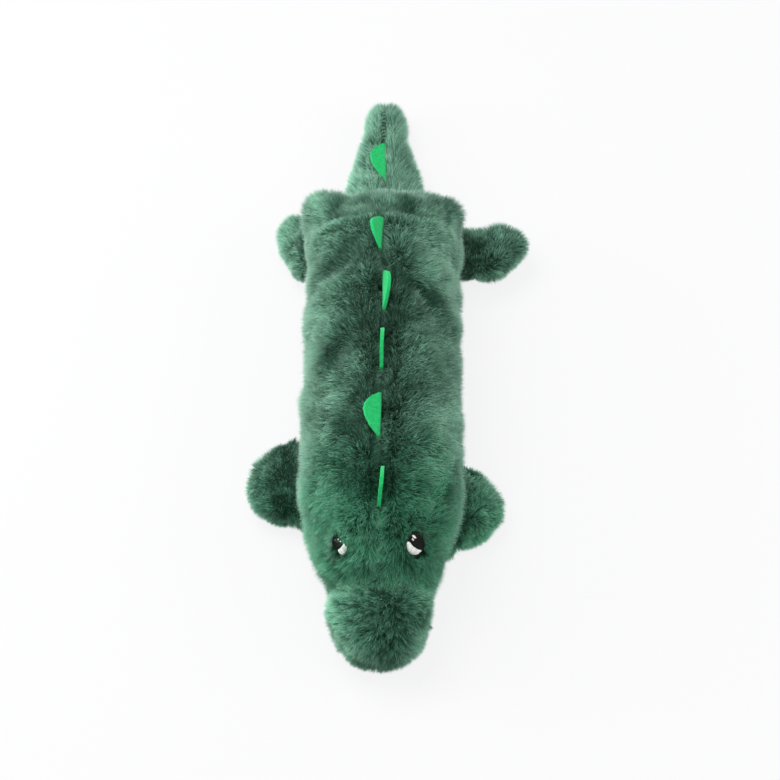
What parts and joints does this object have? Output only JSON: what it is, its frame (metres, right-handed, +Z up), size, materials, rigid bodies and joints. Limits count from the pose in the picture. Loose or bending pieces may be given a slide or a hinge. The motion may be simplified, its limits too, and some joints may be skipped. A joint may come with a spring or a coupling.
{
  "type": "plush dog toy",
  "caption": "Plush alligator dog toy: a fur sleeve round a crushable bottle, with a stuffed snout, paws and tail, felt spikes, embroidered eyes and a lapped rear flap.",
  "frame": {"origin": "on the floor, at the middle of the belly's flat underside, half-way along the sleeve from the snout seam to the hem", "axes": "+Z up, -Y along the snout, +Y along the tail, +X to the right of someone who faces the snout"},
  "size_m": [0.1679, 0.387, 0.0923],
  "materials": {
    "fur": "matte",
    "felt": "matte",
    "lining": "matte",
    "wadding": "matte",
    "fastener": "matte",
    "black_thread": "satin",
    "white_thread": "satin",
    "bottle_plastic": "gloss",
    "cap_plastic": "satin",
    "squeaker_plastic": "satin"
  },
  "bodies": {
    "sleeve": {"back_panel_left": "fur", "back_panel_right": "fur", "belly_panel": "fur", "spike_1": "felt", "spike_2": "felt", "spike_3": "felt", "spike_4": "felt", "spike_5": "felt", "eye_white_left": "white_thread", "eye_black_left": "black_thread", "eye_spark_left": "white_thread", "eye_white_right": "white_thread", "eye_black_right": "black_thread", "eye_spark_right": "white_thread", "hook_strip": "fastener", "bottle": "bottle_plastic", "bottle_cap": "cap_plastic", "lining_pouch": "lining", "head_stuffing": "wadding", "snout_top": "fur", "snout_chin": "fur", "snout_stuffing": "wadding", "squeaker_case": "squeaker_plastic", "squeaker_reed": "squeaker_plastic"},
    "flap": {"rear_flap": "fur", "loop_strip": "fastener"},
    "tail": {"tail_left": "fur", "tail_right": "fur", "tail_stuffing": "wadding", "tail_spike": "felt"},
    "front_left_paw": {"paw_top_front_left": "fur", "paw_sole_front_left": "fur", "paw_stuffing_front_left": "wadding"},
    "front_right_paw": {"paw_top_front_right": "fur", "paw_sole_front_right": "fur", "paw_stuffing_front_right": "wadding"},
    "rear_left_paw": {"paw_top_rear_left": "fur", "paw_sole_rear_left": "fur", "paw_stuffing_rear_left": "wadding"},
    "rear_right_paw": {"paw_top_rear_right": "fur", "paw_sole_rear_right": "fur", "paw_stuffing_rear_right": "wadding"}
  },
  "joints": [
    {"name": "flap_seam", "type": "hinge", "parent": "sleeve", "child": "flap", "pos_m": [0, 0.151, 0.024], "axis": [-1, 0, 0], "range_deg": [0, 55]},
    {"name": "tail_seam", "type": "hinge", "parent": "sleeve", "child": "tail", "pos_m": [0, 0.151, 0.024], "axis": [1, 0, 0], "range_deg": [0, 22]},
    {"name": "front_left_seam", "type": "hinge", "parent": "sleeve", "child": "front_left_paw", "pos_m": [-0.0447, -0.025, 0.024], "axis": [0, 1, 0], "range_deg": [0, 40]},
    {"name": "front_right_seam", "type": "hinge", "parent": "sleeve", "child": "front_right_paw", "pos_m": [0.0447, -0.038, 0.024], "axis": [0, -1, 0], "range_deg": [0, 40]},
    {"name": "rear_left_seam", "type": "hinge", "parent": "sleeve", "child": "rear_left_paw", "pos_m": [-0.0454, 0.119, 0.024], "axis": [0, 1, 0], "range_deg": [0, 40]},
    {"name": "rear_right_seam", "type": "hinge", "parent": "sleeve", "child": "rear_right_paw", "pos_m": [0.0454, 0.1195, 0.024], "axis": [0, -1, 0], "range_deg": [-12, 28]}
  ]
}
